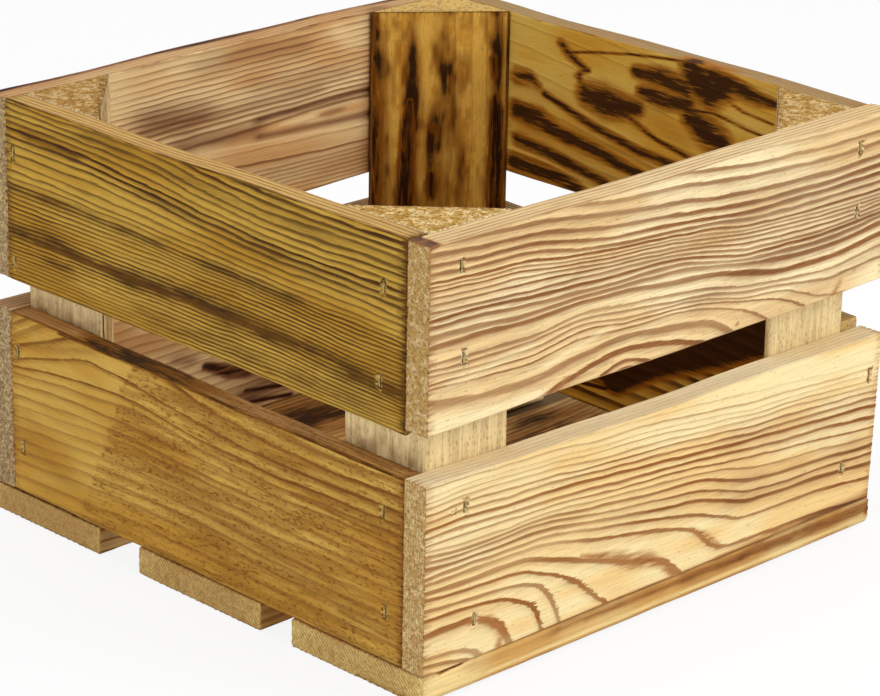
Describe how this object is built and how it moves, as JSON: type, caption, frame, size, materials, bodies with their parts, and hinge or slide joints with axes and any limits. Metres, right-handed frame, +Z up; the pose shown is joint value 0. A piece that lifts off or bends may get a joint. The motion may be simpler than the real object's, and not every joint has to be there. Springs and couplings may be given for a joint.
{
  "type": "wooden crate",
  "caption": "Open-top slatted crate of flamed pine with triangular corner posts and a slatted floor, held by wire staples, for storing and carrying goods.",
  "frame": {"origin": "middle of the crate's footprint, on the underside of the floor boards", "axes": "+X along the front wall to the viewer's right, +Y from the front wall to the rear wall, +Z up to the open top"},
  "size_m": [0.3026, 0.298, 0.2104],
  "materials": {
    "front_wood": "brushed and flamed pine, matt",
    "left_wood": "brushed and flamed pine, matt",
    "rear_wood": "flamed pine, matt",
    "right_wood": "flamed pine, matt",
    "post_wood": "sawn and lightly flamed pine, matt",
    "floor_wood": "planed and lightly flamed pine, matt",
    "staple_wire": "galvanised wire, dulled by heat"
  },
  "bodies": {
    "root": {"front_floor_board": "floor_wood", "middle_floor_board": "floor_wood", "rear_floor_board": "floor_wood", "front_left_post": "post_wood", "front_right_post": "post_wood", "rear_left_post": "post_wood", "rear_right_post": "post_wood", "front_lower_slat": "front_wood", "front_upper_slat": "front_wood", "rear_lower_slat": "rear_wood", "rear_upper_slat": "rear_wood", "left_lower_slat": "left_wood", "left_upper_slat": "left_wood", "right_lower_slat": "right_wood", "right_upper_slat": "right_wood", "front_lower_staples": "staple_wire", "front_upper_staples": "staple_wire", "rear_lower_staples": "staple_wire", "rear_upper_staples": "staple_wire", "left_lower_staples": "staple_wire", "left_upper_staples": "staple_wire", "right_lower_staples": "staple_wire", "right_upper_staples": "staple_wire", "front_floor_staples": "staple_wire", "middle_floor_staples": "staple_wire", "rear_floor_staples": "staple_wire"}
  },
  "joints": []
}
